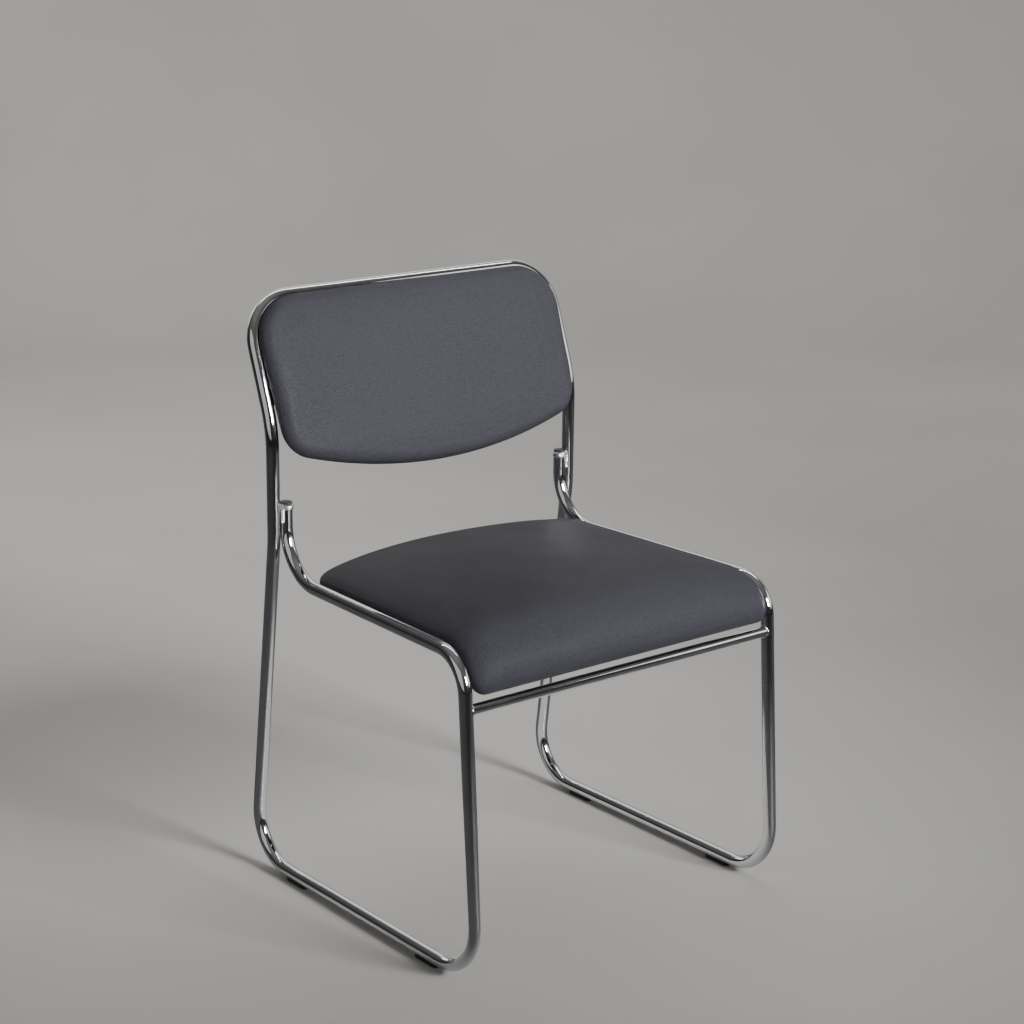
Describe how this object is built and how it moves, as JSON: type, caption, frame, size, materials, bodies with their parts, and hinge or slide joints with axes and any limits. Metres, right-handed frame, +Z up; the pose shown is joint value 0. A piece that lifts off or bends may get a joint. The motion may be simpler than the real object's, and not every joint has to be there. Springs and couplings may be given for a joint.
{
  "type": "sled-base visitor chair",
  "caption": "Visitor chair on a sled base: one bent chrome tube carries a waterfall seat pad and a reclined back pad, both in charcoal leatherette.",
  "frame": {"origin": "on the floor, midway between the sides and midway between the front and rear of the frame", "axes": "+X to the sitter's left, -Y to the front, +Z up"},
  "size_m": [0.507, 0.4955, 0.7824],
  "materials": {
    "chrome_tube": "bright chrome plate",
    "black_plastic": "satin",
    "leatherette": "fine pebble grain, semi-matt",
    "plywood": "raw moulded plywood",
    "foam": "open-cell foam",
    "felt": "non-woven felt",
    "zinc_steel": "zinc plate"
  },
  "bodies": {
    "root": {"back_tab_lower_left": "chrome_tube", "back_tab_lower_right": "chrome_tube", "back_tab_upper_left": "chrome_tube", "back_tab_upper_right": "chrome_tube", "frame_tube": "chrome_tube", "front_cross_tube": "chrome_tube", "seat_strap": "chrome_tube", "seat_tab_left": "chrome_tube", "seat_tab_right": "chrome_tube", "weld_bead_front_left": "chrome_tube", "weld_bead_front_right": "chrome_tube", "weld_bead_rear_left": "chrome_tube", "weld_bead_rear_right": "chrome_tube", "glide_front_left": "black_plastic", "glide_front_right": "black_plastic", "glide_rear_left": "black_plastic", "glide_rear_right": "black_plastic", "stub_plug_left": "black_plastic", "stub_plug_right": "black_plastic", "back_cover": "leatherette", "back_panel": "leatherette", "seat_cover": "leatherette", "back_board": "plywood", "seat_board": "plywood", "back_foam": "foam", "seat_foam": "foam", "seat_dust_cover": "felt", "back_screw_lower_left": "zinc_steel", "back_screw_lower_right": "zinc_steel", "back_screw_upper_left": "zinc_steel", "back_screw_upper_right": "zinc_steel", "back_tee_nut_lower_left": "zinc_steel", "back_tee_nut_lower_right": "zinc_steel", "back_tee_nut_upper_left": "zinc_steel", "back_tee_nut_upper_right": "zinc_steel", "seat_screw_front_left": "zinc_steel", "seat_screw_front_right": "zinc_steel", "seat_screw_rear_left": "zinc_steel", "seat_screw_rear_right": "zinc_steel", "seat_tee_nut_front_left": "zinc_steel", "seat_tee_nut_front_right": "zinc_steel", "seat_tee_nut_rear_left": "zinc_steel", "seat_tee_nut_rear_right": "zinc_steel"}
  },
  "joints": []
}
